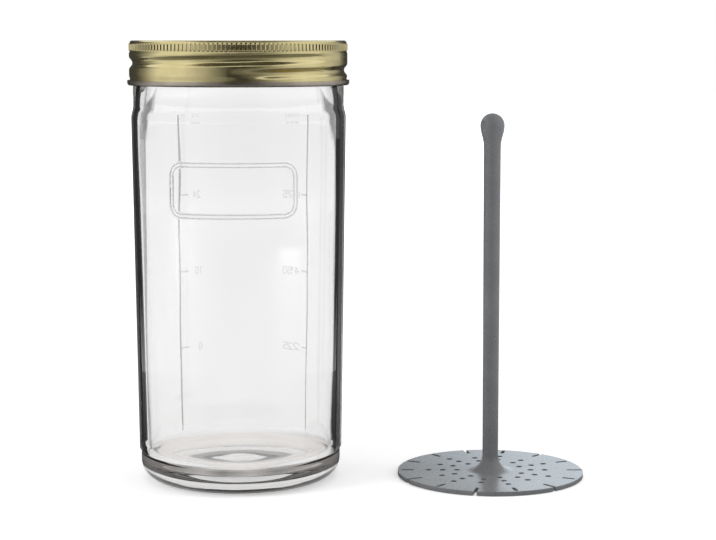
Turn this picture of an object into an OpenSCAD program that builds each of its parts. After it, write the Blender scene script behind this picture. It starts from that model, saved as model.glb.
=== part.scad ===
// A straight wide-mouth preserving jar in clear glass, its two-part metal lid, and the lifter
// that stands inside it: a perforated disc on a stem, which raises what is in the brine.

/* [Jar] */
// Height of the glass jar, from its foot to its rim
jar_h = 199; // [150:1:240]
// Outer diameter of the glass finish at the root of its thread
finish_d = 94.4; // [84:0.2:104]
// Step from the finish out to the neck below the lid, on the radius
neck_step = 0.7; // [0.4:0.1:1.4]
// Step from the neck out to the body, on the radius
shoulder_step = 1.0; // [0.5:0.1:4]
// How much narrower the body's radius is at the heel than below the shoulder
body_draft = 2.2; // [0:0.1:4]
// Wall of the body
wall_t = 4.3; // [3:0.1:6]
// Wall of the finish, at the mouth
finish_wall = 3.6; // [3:0.1:4.4]
// Depth of the neck, from the rim down to the middle of the shoulder
neck_h = 30; // [28:0.5:45]
// Height of the shoulder's soft step
shoulder_h = 6; // [3:0.5:10]
// Height of the heel, up to the small step where the body begins
heel_h = 13.6; // [11:0.2:20]
// Depth of the small step above the heel
heel_step = 0.8; // [0.3:0.1:1.2]
// Radius of the rounded heel
heel_round = 9; // [5:0.5:10]
// Radius of the rounded corner inside, where wall meets floor
floor_round = 7; // [4:0.5:9]
// Glass under the middle of the floor
floor_t = 6; // [4:0.5:9]
// Height of the hollow under the foot
punt_h = 3; // [1.5:0.5:4]
// Width of the flat ring that the jar stands on
foot_w = 3; // [2:0.5:6]
// Radius of the rounded rim
rim_round = 1.2; // [0.8:0.1:1.5]

/* [Thread] */
// Rise of the thread in one turn
thread_pitch = 6.35; // [5.5:0.05:8]
// Height of the glass thread above the finish
thread_depth = 1.2; // [0.9:0.1:1.5]
// Width of the glass thread's crest
thread_crest = 1; // [0.6:0.1:1.4]
// Width of the glass thread at its root
thread_root = 2.6; // [2:0.1:3]
// Depth of the thread's helix below the rim, where the helix crosses the +X side
thread_drop = 1.8; // [1.5:0.1:3]
// Angle at which the glass thread begins, near the rim
thread_start = -60; // [-120:5:-50]
// Turns of the glass thread
thread_turns = 1.25; // [1:0.05:1.5]

/* [Scale on the back wall] */
// Height of the lowest end of the two scale lines
scale_foot = 14.8; // [14.8:0.2:24]
// Height of the first tick
scale_first = 54; // [40:0.5:54]
// Rise from tick to tick
scale_step = 36.8; // [20:0.2:36.8]
// Number of ticks on each line
scale_ticks = 4; // [1:1:4]
// Angle of each scale line from the middle of the back
scale_angle = 43; // [20:1:60]
// Length of a tick round the wall
tick_len = 4.5; // [2:0.5:10]
// Width of the raised lines
scale_w = 0.9; // [0.6:0.1:1.5]
// Height of the two upright lines above the glass
scale_relief = 0.4; // [0.3:0.1:0.6]
// Height of the ticks above the glass
tick_relief = 0.25; // [0.1:0.05:0.25]

/* [Lid] */
// Thickness of the screw band's sheet
sheet_t = 0.5; // [0.4:0.05:0.6]
// Thickness of the seal disc's sheet
disc_t = 0.5; // [0.4:0.05:0.6]
// Radius that the seal disc reaches beyond the finish
disc_reach = 0.3; // [0.1:0.05:0.35]
// Depth of the groove pressed round the seal disc's middle
disc_dish = 1.8; // [1:0.1:2.5]
// Width of the seal disc's flat rim, in from its edge
disc_rim_w = 5; // [4.5:0.1:6]
// Thickness of the sealing ring
seal_t = 0.9; // [0.6:0.05:1.4]
// Width of the sealing ring
seal_w = 3; // [2:0.1:3.2]
// Height of the screw band
band_h = 20.2; // [19:0.2:24]
// Width of the band's flange, in from its outer wall
flange_w = 6.5; // [5:0.1:9]
// Radius of the band's top corner
band_corner = 1.2; // [0.8:0.1:1.6]
// Height of the grip ribs
knurl_h = 3.6; // [2:0.1:4.5]
// Height of a grip rib above the band's wall
knurl_depth = 0.45; // [0.3:0.05:0.6]
// Number of grip ribs
knurl_count = 156; // [80:4:180]
// Outward swell of the skirt below the grip ribs
skirt_swell = 0.35; // [0.2:0.05:0.5]
// Depth of the rolled thread groove in the skirt
groove_depth = 1.4; // [1.2:0.05:1.5]
// Width of the rolled groove at its bottom
groove_floor = 1; // [0.8:0.1:1.4]
// Angle at which the rolled groove begins, near the grip ribs
groove_start = -20; // [-60:5:0]
// Turns of the rolled groove
groove_turns = 1.2; // [1:0.05:1.3]
// Height of the outward curl at the band's lower edge
curl_h = 3.1; // [2.6:0.1:3.6]
// Width of that curl
curl_w = 1.75; // [1.5:0.05:2]

/* [Lifter] */
// Height of the lifter
lifter_h = 168; // [120:1:185]
// Diameter of the lifter's disc
plate_d = 86; // [70:0.5:86.4]
// Thickness of the disc
plate_t = 2; // [1.5:0.1:3]
// Diameter of the stem below the knob
stem_top_d = 7.9; // [7:0.1:9]
// Diameter of the stem above the flare
stem_foot_d = 7.2; // [6.8:0.1:9]
// Diameter of the knob
knob_d = 11.1; // [10:0.1:14]
// Length of the knob's taper into the stem
knob_taper = 9.5; // [6:0.5:14]
// Radius of the flare between stem and disc
flare_r = 7.5; // [5:0.5:9]
// Number of rows with three holes and a closed slot; as many more lie between them
row_pairs = 7; // [5:1:8]
// Angle of the first row of three holes
row_angle = -77.4; // [-90:0.2:-60]
// Diameter of a drain hole
hole_d = 2.7; // [2:0.1:3.2]
// Radius at which the innermost holes lie
hole_first = 15.5; // [14.5:0.1:16]
// Distance from hole to hole in a row
hole_pitch = 6.6; // [5:0.1:6.6]
// Width of the radial slots
slot_w = 1.6; // [1:0.1:2]
// Inset of the slots' inner end from the disc's edge
slot_inset = 7.4; // [5:0.1:7.6]
// Rim that is left outside a closed slot
slot_rim = 1.4; // [1:0.1:3]
// Diameter of the stiff core inside the stem
core_d = 4.4; // [3:0.1:5]

/* [Layout] */
// Distance from the jar's axis to the lifter's, side by side
pair_pitch = 116; // [105:1:140]

/* [Fits] */
// Gap between the sealing ring and the rim
seal_gap = 0.05; // [0.02:0.01:0.1]
// Gap between the band's flange and the seal disc
flange_gap = 0.1; // [0.05:0.01:0.2]
// Radial gap between the glass thread's crest and the band's wall
crest_gap = 0.35; // [0.3:0.05:0.5]
// Height of the glass thread's middle above the rolled groove's middle
thread_seat = 2.4; // [2.3:0.05:2.6]
// Play of the core in the stem
core_play = 0.05; // [0.02:0.01:0.1]

/* [Hidden] */

round_fn = 120;
hole_fn = 48;
blend_steps = 10;
arc_steps = 8;
thread_step = 7.5;
fade_angle = 30;
// Share of a thread's height that is left at its very ends
fade_low = 0.12;
bite = 0.6;
overcut = 1;
// Rise of the jar's floor from its edge to its middle
floor_crown = 1;
// Flat middle of the floor and of the hollow under it, as a share of the foot ring's inner radius
flat_share = 0.25;
// Where the seal disc's groove begins, reaches its bottom and leaves it, as shares of the rim's inner radius
dish_shares = [0.82, 0.9, 0.93];
// Corners of one grip rib along its step, as shares: two at its root, then two at its crest
rib_corners = [0.05, 0.3, 0.5, 0.85];
// Height of the ribs' root above the band's wall
rib_lift = 0.05;
// Height of the core's foot, and thickness of its flange, as a share of the disc's thickness
core_seat = 0.6;

finish_r = finish_d / 2;
mouth_r = finish_r - finish_wall;
neck_r = finish_r + neck_step;
body_r = neck_r + shoulder_step;
body_foot_r = body_r - body_draft;
heel_r = body_foot_r - heel_step;
shoulder_z = jar_h - neck_h;
body_top_z = shoulder_z - shoulder_h / 2;
body_foot_z = heel_h + heel_step;
foot_out_r = heel_r - heel_round;
foot_in_r = foot_out_r - foot_w;
floor_z = punt_h + floor_t;
floor_edge_z = floor_z - floor_crown;
flat_r = foot_in_r * flat_share;

seal_z = jar_h + seal_gap;
disc_z = seal_z + seal_t;
lid_top_z = disc_z + disc_t + flange_gap + sheet_t;
disc_r = finish_r + disc_reach;
seal_mid_r = finish_r - finish_wall / 2;

band_in_r = finish_r + thread_depth + crest_gap;
band_mid_r = band_in_r + sheet_t / 2;
band_out_r = band_in_r + sheet_t;
skirt_out_r = band_out_r + skirt_swell;
skirt_mid_r = skirt_out_r - sheet_t / 2;
band_foot_z = lid_top_z - band_h;
knurl_top_z = lid_top_z - band_corner;
knurl_foot_z = knurl_top_z - knurl_h;
flange_r = band_out_r - flange_w;
lip_r = band_in_r + curl_w;
groove_r = skirt_out_r - groove_depth;
bead_r = groove_r - sheet_t;
helix_z = jar_h - thread_drop;

plate_r = plate_d / 2;
stem_top_z = lifter_h - knob_d / 2 - knob_taper;
stem_foot_z = plate_t + flare_r;
row_step = 360 / row_pairs;
core_foot_z = plate_t * core_seat;
core_flange_r = stem_foot_d / 2 + flare_r / 4;
core_flange_t = plate_t * core_seat;
core_top_z = lifter_h - knob_d / 2;

lip_reach = max(lip_r, body_r);
pair_span = lip_reach + pair_pitch + plate_r;
jar_x = lip_reach - pair_span / 2;
lifter_x = jar_x + pair_pitch;

// Points of an ellipse's arc about [x, y], in degrees from +X
function arc_points(x, y, rx, ry, from, to, steps = arc_steps) =
    [for (i = [0:steps]) let (a = from + (to - from) * i / steps) [x + rx * cos(a), y + ry * sin(a)]];

// Points of a soft S from p to q that is level at both ends, along the second axis
function blend_points(p, q, steps = blend_steps) =
    [for (i = [0:steps]) let (s = i / steps, w = (1 - cos(180 * s)) / 2)
        [p[0] + (q[0] - p[0]) * w, p[1] + (q[1] - p[1]) * s]];

// Points of a soft S from p to q that is level at both ends, along the first axis
function rise_points(p, q, steps = blend_steps) =
    [for (i = [0:steps]) let (s = i / steps, w = (1 - cos(180 * s)) / 2)
        [p[0] + (q[0] - p[0]) * s, p[1] + (q[1] - p[1]) * w]];

// Outline of a sheet of even thickness t that follows a path
function unit(v) = v / norm(v);
function path_normal(path, i) =
    let (n = len(path) - 1, d = unit(path[min(i + 1, n)] - path[max(i - 1, 0)])) [-d[1], d[0]];
function sheet_outline(path, t) = concat(
    [for (i = [0:len(path) - 1]) path[i] + path_normal(path, i) * t / 2],
    [for (i = [len(path) - 1:-1:0]) path[i] - path_normal(path, i) * t / 2]);

// A bar of four-sided section that winds round the Z axis. Its section is [root half width, crest half
// width], from root_r to crest_r, and the crest sinks back to the root at both ends.
module helix_bar(start, turns, z, root_r, crest_r, root_w, crest_w) {
    steps = round(turns * 360 / thread_step);
    sweep = turns * 360;
    angles = [for (i = [0:steps]) start - sweep * i / steps];
    function fade(i) =
        let (run = min(i, steps - i) * sweep / steps)
            fade_low + (1 - fade_low) * sin(90 * min(1, run / fade_angle));
    function at(a, r, dz) = [r * cos(a), r * sin(a), z + thread_pitch * a / 360 + dz];
    points = [for (i = [0:steps]) let (a = angles[i], c = root_r + (crest_r - root_r) * fade(i))
        each [at(a, root_r, -root_w), at(a, c, -crest_w), at(a, c, crest_w), at(a, root_r, root_w)]];
    sides = [for (i = [0:steps - 1], k = [0:3])
        let (p = i * 4 + k, q = i * 4 + (k + 1) % 4)
        each [[p, p + 4, q + 4], [p, q + 4, q]]];
    ends = [[0, 1, 2], [0, 2, 3], [steps * 4 + 2, steps * 4 + 1, steps * 4],
        [steps * 4 + 3, steps * 4 + 2, steps * 4]];
    // With the crest inside the root the section is turned round, so its faces are too
    outward = crest_r > root_r;
    faces = [for (f = concat(sides, ends)) outward ? f : [f[2], f[1], f[0]]];
    polyhedron(points = points, faces = faces, convexity = 6);
}

function wall_r(z) = body_foot_r + body_draft * (z - body_foot_z) / (body_top_z - body_foot_z);

// The glass without its thread and scale: outside from the foot up, over the rim and down inside
function jar_outline() = concat(
    [[0, punt_h]],
    rise_points([flat_r, punt_h], [foot_in_r, 0]),
    arc_points(foot_out_r, heel_round, heel_round, heel_round, -90, 0),
    [[heel_r, heel_h]],
    [[body_foot_r, body_foot_z]],
    blend_points([body_r, body_top_z], [neck_r, shoulder_z + shoulder_h / 2]),
    [[neck_r, band_foot_z - neck_step]],
    [[finish_r, band_foot_z + neck_step]],
    arc_points(finish_r - rim_round, jar_h - rim_round, rim_round, rim_round, 0, 90),
    arc_points(mouth_r + rim_round, jar_h - rim_round, rim_round, rim_round, 90, 180),
    blend_points([mouth_r, shoulder_z + shoulder_h / 2], [body_r - wall_t, body_top_z]),
    arc_points(wall_r(floor_edge_z + floor_round) - wall_t - floor_round, floor_edge_z + floor_round,
        floor_round, floor_round, 0, -90),
    rise_points([foot_in_r, floor_edge_z], [flat_r, floor_z]),
    [[0, floor_z]]);

// One scale line with its ticks, which point towards the middle of the back
module scale_line(side) {
    top_z = scale_first + (scale_ticks - 1) * scale_step + scale_w / 2;
    lean = atan2(body_draft, body_top_z - body_foot_z);
    rotate([0, 0, 90 + side * scale_angle]) {
        translate([wall_r(scale_foot), 0, scale_foot])
            rotate([0, lean, 0])
                translate([-overcut, -scale_w / 2, 0])
                    cube([overcut + scale_relief, scale_w, (top_z - scale_foot) / cos(lean)]);
        for (i = [0:scale_ticks - 1])
            let (z = scale_first + i * scale_step, r = wall_r(z), turn = tick_len / r * 180 / PI)
                rotate([0, 0, side > 0 ? -turn : 0])
                    rotate_extrude(angle = turn, $fn = round_fn)
                        translate([r - overcut, z - scale_w / 2])
                            square([overcut + tick_relief, scale_w]);
    }
}

module jar_body() {
    color([0.86, 0.92, 0.92, 0.45])
        translate([jar_x, 0, 0]) {
            rotate_extrude($fn = round_fn) polygon(jar_outline());
            helix_bar(thread_start, thread_turns, helix_z, finish_r - bite, finish_r + thread_depth,
                thread_root / 2, thread_crest / 2);
            for (side = [-1, 1]) scale_line(side);
        }
}

// The flat lid: a rim over the glass, a pressed groove inside the mouth and a raised middle panel
module seal_disc() {
    mid_z = disc_z + disc_t / 2;
    panel_z = mid_z - disc_dish / 3;
    groove_z = mid_z - disc_dish;
    rim_in_r = disc_r - disc_rim_w;
    groove_radii = rim_in_r * dish_shares;
    path = concat(
        [[0, panel_z]],
        rise_points([groove_radii[0], panel_z], [groove_radii[1], groove_z]),
        rise_points([groove_radii[2], groove_z], [rim_in_r, mid_z]),
        [[disc_r, mid_z]]);
    color([0.80, 0.72, 0.42])
        translate([jar_x, 0, 0])
            rotate_extrude($fn = round_fn)
                intersection() {
                    polygon(sheet_outline(path, disc_t));
                    translate([0, seal_z - disc_dish * 2]) square([disc_r, disc_dish * 4]);
                }
}

module sealing_ring() {
    color([0.88, 0.86, 0.80])
        translate([jar_x, 0, seal_z])
            rotate_extrude($fn = round_fn)
                translate([seal_mid_r - seal_w / 2, 0]) square([seal_w, seal_t]);
}

// Path of the band's sheet, from the flange's inner edge to the end of the curl
function band_path() =
    let (corner = band_corner - sheet_t / 2,
        curl_mid = band_mid_r + (curl_w - sheet_t) / 2,
        curl_rx = (curl_w - sheet_t) / 2,
        curl_ry = (curl_h - sheet_t) / 2,
        curl_z = band_foot_z + curl_h / 2)
    concat(
        [[flange_r, lid_top_z - sheet_t / 2]],
        arc_points(band_mid_r - corner, lid_top_z - band_corner, corner, corner, 90, 0),
        blend_points([band_mid_r, knurl_foot_z], [skirt_mid_r, knurl_foot_z - knurl_h / 3]),
        blend_points([skirt_mid_r, curl_z + curl_h], [band_mid_r, curl_z + curl_h / 3]),
        arc_points(curl_mid, curl_z, curl_rx, curl_ry, 180, 390));

module grip_ribs() {
    root_r = band_out_r + rib_lift;
    step = 360 / knurl_count;
    translate([0, 0, knurl_foot_z])
        linear_extrude(knurl_h)
            difference() {
                polygon([for (i = [0:knurl_count - 1], k = [0:3])
                    let (r = k < 2 ? root_r : band_out_r + knurl_depth, a = (i + rib_corners[k]) * step)
                    r * [cos(a), sin(a)]]);
                circle(r = band_mid_r, $fn = round_fn);
            }
}

module screw_band() {
    bead_root_w = groove_floor / 2 + groove_depth;
    color([0.80, 0.72, 0.42])
        translate([jar_x, 0, 0])
            difference() {
                union() {
                    rotate_extrude($fn = round_fn) polygon(sheet_outline(band_path(), sheet_t));
                    grip_ribs();
                    helix_bar(groove_start, groove_turns, helix_z - thread_seat, skirt_mid_r, bead_r,
                        bead_root_w, groove_floor / 2);
                }
                helix_bar(groove_start, groove_turns, helix_z - thread_seat, skirt_out_r + overcut,
                    groove_r, groove_floor / 2 + groove_depth + overcut, groove_floor / 2);
            }
}

// Half section of the lifter, from the middle of its underside round to the top of the knob
function lifter_outline() = concat(
    [[0, 0], [plate_r - plate_t / 8, 0], [plate_r, plate_t / 8], [plate_r, plate_t * 7 / 8],
        [plate_r - plate_t / 8, plate_t]],
    arc_points(stem_foot_d / 2 + flare_r, stem_foot_z, flare_r, flare_r, -90, -180),
    blend_points([stem_top_d / 2, stem_top_z], [knob_d / 2, lifter_h - knob_d / 2]),
    arc_points(0, lifter_h - knob_d / 2, knob_d / 2, knob_d / 2, 0, 90));

module core_shape(play) {
    translate([0, 0, core_foot_z])
        cylinder(r = core_flange_r + play, h = core_flange_t + play, $fn = hole_fn);
    translate([0, 0, core_foot_z])
        cylinder(r = core_d / 2 + play, h = core_top_z - core_foot_z + play, $fn = hole_fn);
}

module drain_hole(r) {
    translate([r, 0, -overcut]) cylinder(d = hole_d, h = plate_t + 2 * overcut, $fn = hole_fn);
}

module slot(from, to) {
    translate([from, -slot_w / 2, -overcut]) cube([to - from, slot_w, plate_t + 2 * overcut]);
    for (r = [from, to])
        translate([r, 0, -overcut]) cylinder(d = slot_w, h = plate_t + 2 * overcut, $fn = hole_fn);
}

module lifter() {
    slot_in = plate_r - slot_inset + slot_w / 2;
    color([0.44, 0.45, 0.46])
        translate([lifter_x, 0, 0])
            difference() {
                rotate_extrude($fn = round_fn) polygon(lifter_outline());
                core_shape(core_play);
                for (i = [0:row_pairs - 1]) {
                    rotate([0, 0, row_angle + i * row_step]) {
                        for (k = [0:2]) drain_hole(hole_first + k * hole_pitch);
                        slot(slot_in, plate_r - slot_rim - slot_w / 2);
                    }
                    rotate([0, 0, row_angle + (i + 0.5) * row_step]) {
                        for (k = [0:1]) drain_hole(hole_first + (k + 0.5) * hole_pitch);
                        slot(slot_in, plate_r + overcut);
                    }
                }
            }
}

module lifter_core() {
    color([0.92, 0.92, 0.88])
        translate([lifter_x, 0, 0]) core_shape(0);
}

jar_body();
seal_disc();
sealing_ring();
screw_band();
lifter();
lifter_core();
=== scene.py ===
import math

import bpy
import numpy as np
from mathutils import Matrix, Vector


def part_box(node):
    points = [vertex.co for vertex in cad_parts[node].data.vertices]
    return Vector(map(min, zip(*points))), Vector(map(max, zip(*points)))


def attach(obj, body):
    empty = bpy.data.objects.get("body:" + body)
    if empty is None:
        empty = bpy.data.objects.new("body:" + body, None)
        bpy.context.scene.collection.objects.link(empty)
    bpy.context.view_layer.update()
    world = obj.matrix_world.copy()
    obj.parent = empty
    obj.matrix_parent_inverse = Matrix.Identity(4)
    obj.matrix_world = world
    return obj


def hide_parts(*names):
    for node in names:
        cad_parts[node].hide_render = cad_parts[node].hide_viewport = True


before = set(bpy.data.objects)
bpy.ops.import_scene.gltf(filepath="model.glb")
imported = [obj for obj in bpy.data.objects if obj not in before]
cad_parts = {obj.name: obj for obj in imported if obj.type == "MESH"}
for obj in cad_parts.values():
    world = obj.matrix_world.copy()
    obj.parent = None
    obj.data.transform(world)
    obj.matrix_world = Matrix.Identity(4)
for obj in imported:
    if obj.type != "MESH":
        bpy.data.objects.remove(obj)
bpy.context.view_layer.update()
mm = 0.001


def nodeBox(node):
    low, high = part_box(node)
    return np.array(low) / mm, np.array(high) / mm


jarLow, jarHigh = nodeBox("jar_body")
ringLow, ringHigh = nodeBox("sealing_ring")
bandLow, bandHigh = nodeBox("screw_band")
discLow, discHigh = nodeBox("seal_disc")
lifterLow, lifterHigh = nodeBox("lifter")
jarAxis = (ringLow[0] + ringHigh[0]) / 2
lifterAxis = (lifterLow[0] + lifterHigh[0]) / 2
rimZ = jarHigh[2]
lidTopZ = bandHigh[2]
bandFootZ = bandLow[2]
thread = {  # the glass thread, which the band's groove follows: millimetres, degrees and turns
    "pitch": 6.35, "drop": 1.8, "depth": 1.2, "crest": 0.5, "root": 1.3, "start": -60.0, "turns": 1.25,
    "fade": 30.0, "runOut": 0.12,
}
onAxis = 1e-6  # a smaller radius than this is the axis


def arcPoints(x, y, rx, ry, start, end, steps=8):
    turn = np.radians(np.linspace(start, end, steps + 1))
    return [(x + rx * math.cos(a), y + ry * math.sin(a)) for a in turn]


def softAlong(p, q, steps=10):  # an S that is level at both ends, along the height
    share = np.linspace(0, 1, steps + 1)
    ease = (1 - np.cos(np.pi * share)) / 2
    return [(p[0] + (q[0] - p[0]) * e, p[1] + (q[1] - p[1]) * s) for s, e in zip(share, ease)]


def softAcross(p, q, steps=10):  # the same, along the radius
    return [(x, z) for z, x in softAlong((p[1], p[0]), (q[1], q[0]), steps)]


def stops(low, high, coarse, spans):  # places from low to high, closer together inside the spans
    cuts = sorted({low, high, *(e for s in spans for e in s[:2] if low < e < high)})
    places = [low]
    for a, b in zip(cuts, cuts[1:]):
        step = min([coarse] + [s[2] for s in spans if s[0] < (a + b) / 2 < s[1]])
        count = max(1, math.ceil((b - a) / step))
        places += [a + (b - a) * k / count for k in range(1, count + 1)]
    return np.array(places)


def dropDoubles(points):
    closest = 1e-4
    kept = [points[0]]
    for p in points[1:]:
        if math.dist(p, kept[-1]) > closest:
            kept.append(p)
    return kept


def evenAngles(count):
    return np.arange(count) * 360 / count


def turnedMesh(name, rows, angles, axisX, push=None, loop=False):
    # rows is the outline as (radius, height), angles are in degrees, push is a radius change at each point
    rows = np.array(rows, float)
    turn = np.radians(angles)
    count = len(turn)
    radius = np.repeat(rows[:, :1], count, 1)
    if push is not None:
        radius = radius + push
    height = np.repeat(rows[:, 1:], count, 1)
    grid = np.stack([axisX + radius * np.cos(turn), radius * np.sin(turn), height], -1)
    first, last = rows[0, 0] < onAxis, rows[-1, 0] < onAxis
    ringRows = list(range(int(first), len(rows) - int(last)))
    points = grid[ringRows].reshape(-1, 3).tolist()
    faces = []
    for i in range(len(ringRows) - (0 if loop else 1)):
        a, b = i * count, ((i + 1) % len(ringRows)) * count
        faces += [(a + j, a + (j + 1) % count, b + (j + 1) % count, b + j) for j in range(count)]
    if first:
        pole = len(points)
        points.append([axisX, 0, rows[0, 1]])
        faces += [(pole, (j + 1) % count, j) for j in range(count)]
    if last:
        pole = len(points)
        points.append([axisX, 0, rows[-1, 1]])
        top = (len(ringRows) - 1) * count
        faces += [(top + j, top + (j + 1) % count, pole) for j in range(count)]
    mesh = bpy.data.meshes.new(name)
    mesh.from_pydata((np.array(points) * mm).tolist(), [], faces)
    mesh.update()
    mesh.shade_smooth()
    return mesh


def newPiece(name, mesh, *materials):
    piece = bpy.data.objects.new(name, mesh)
    bpy.context.scene.collection.objects.link(piece)
    for m in materials:
        mesh.materials.append(m)
    return piece


def addNode(tree, kind, sockets=None, **settings):
    node = tree.nodes.new(kind)
    for key, value in settings.items():
        setattr(node, key, value)
    for key, value in (sockets or {}).items():
        if isinstance(value, bpy.types.NodeSocket):
            tree.links.new(value, node.inputs[key])
        else:
            node.inputs[key].default_value = value
    return node


def maths(tree, operation, *values, clamp=False):
    node = addNode(tree, "ShaderNodeMath", dict(enumerate(values)), operation=operation, use_clamp=clamp)
    return node.outputs[0]


def mapRange(tree, value, fromLow, fromHigh, toLow=0.0, toHigh=1.0):
    given = {"Value": value, "From Min": fromLow, "From Max": fromHigh, "To Min": toLow, "To Max": toHigh}
    return addNode(tree, "ShaderNodeMapRange", given).outputs[0]


def objectPlace(tree):
    return addNode(tree, "ShaderNodeTexCoord").outputs["Object"]


def pointValue(tree, name):  # an attribute of the mesh
    return addNode(tree, "ShaderNodeAttribute", attribute_name=name).outputs["Fac"]


def startGroup(name, kind, inputs, outputs):  # inputs are (label, kind of socket, value)
    tree = bpy.data.node_groups.new(name, kind)
    for label, socket, value in inputs:
        made = tree.interface.new_socket(label, in_out="INPUT", socket_type="NodeSocket" + socket)
        if value is not None:
            made.default_value = value
    for label, socket in outputs:
        tree.interface.new_socket(label, in_out="OUTPUT", socket_type="NodeSocket" + socket)
    return tree, tree.nodes.new("NodeGroupInput").outputs, tree.nodes.new("NodeGroupOutput").inputs


effects = {
    "noiseRange": (0.3, 0.7),  # the part of the noise that the grain spreads out
    "wearGain": 6.0, "wearDetail": 4.0, "wearTorn": (2.0, -0.4),
    "speckPatch": 0.1, "speckFew": 0.58,  # how wide the patches of specks are, and how few
}


def makeGrain():  # soft mottling between two values, with its height for a bump
    tree, given, out = startGroup("fineGrain", "ShaderNodeTree", [
        ("Scale", "Float", 400.0), ("Stretch", "Vector", (1, 1, 1)), ("Detail", "Float", 3.0),
        ("Low", "Float", 0.0), ("High", "Float", 1.0)], [("Value", "Float"), ("Height", "Float")])
    laid = addNode(tree, "ShaderNodeMapping", {"Vector": objectPlace(tree), "Scale": given["Stretch"]})
    noise = addNode(tree, "ShaderNodeTexNoise", {
        "Vector": laid.outputs[0], "Scale": given["Scale"], "Detail": given["Detail"]}).outputs[0]
    spread = mapRange(tree, noise, *effects["noiseRange"], given["Low"], given["High"])
    tree.links.new(spread, out["Value"])
    tree.links.new(noise, out["Height"])
    return tree


def makeWear():  # rubbed edges, broken up by noise
    tree, given, out = startGroup("rubbedEdges", "ShaderNodeTree", [
        ("Width", "Float", 0.0004), ("Amount", "Float", 1.0), ("Breakup", "Float", 900.0)],
        [("Mask", "Float")])
    rounded = addNode(tree, "ShaderNodeBevel", {"Radius": given["Width"]}, samples=4).outputs[0]
    true = addNode(tree, "ShaderNodeNewGeometry").outputs["Normal"]
    close = addNode(tree, "ShaderNodeVectorMath", {0: rounded, 1: true}, operation="DOT_PRODUCT")
    edge = maths(tree, "SUBTRACT", 1.0, close.outputs["Value"])
    edge = maths(tree, "MULTIPLY", edge, effects["wearGain"], clamp=True)
    noise = addNode(tree, "ShaderNodeTexNoise", {
        "Vector": objectPlace(tree), "Scale": given["Breakup"], "Detail": effects["wearDetail"]}).outputs[0]
    torn = maths(tree, "MULTIPLY", edge, maths(tree, "MULTIPLY_ADD", noise, *effects["wearTorn"], clamp=True))
    tree.links.new(maths(tree, "MULTIPLY", torn, given["Amount"], clamp=True), out["Mask"])
    return tree


def makeSpecks():  # sparse dust and pinholes
    tree, given, out = startGroup("dustSpecks", "ShaderNodeTree", [
        ("Scale", "Float", 700.0), ("Size", "Float", 0.12)], [("Mask", "Float")])
    place = objectPlace(tree)
    cells = addNode(tree, "ShaderNodeTexVoronoi", {
        "Vector": place, "Scale": given["Scale"], "Randomness": 1.0}).outputs["Distance"]
    near = maths(tree, "LESS_THAN", cells, given["Size"])
    wide = maths(tree, "MULTIPLY", given["Scale"], effects["speckPatch"])
    patches = addNode(tree, "ShaderNodeTexNoise", {"Vector": place, "Scale": wide}).outputs[0]
    few = maths(tree, "GREATER_THAN", patches, effects["speckFew"])
    tree.links.new(maths(tree, "MULTIPLY", near, few), out["Mask"])
    return tree


grainGroup, wearGroup, specksGroup = makeGrain(), makeWear(), makeSpecks()
print("stage: shared effects")


def useGroup(tree, group, **sockets):
    node = addNode(tree, "ShaderNodeGroup", node_tree=group)
    for key, value in sockets.items():
        node.inputs[key].default_value = value
    return node.outputs


def startMaterial(name):
    material = bpy.data.materials.new(name)
    material.use_nodes = True
    tree = material.node_tree
    return material, tree, tree.nodes["Principled BSDF"]


def mixColour(tree, share, first, second):
    node = addNode(tree, "ShaderNodeMix", data_type="RGBA")
    for index, value in ((0, share), (6, first), (7, second)):  # 6 and 7 are a Mix node's colours
        if isinstance(value, bpy.types.NodeSocket):
            tree.links.new(value, node.inputs[index])
        else:
            node.inputs[index].default_value = value
    return node.outputs[2]


def bump(tree, shader, height, strength, distance):
    node = addNode(tree, "ShaderNodeBump", {"Height": height, "Strength": strength, "Distance": distance})
    tree.links.new(node.outputs[0], shader.inputs["Normal"])


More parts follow.
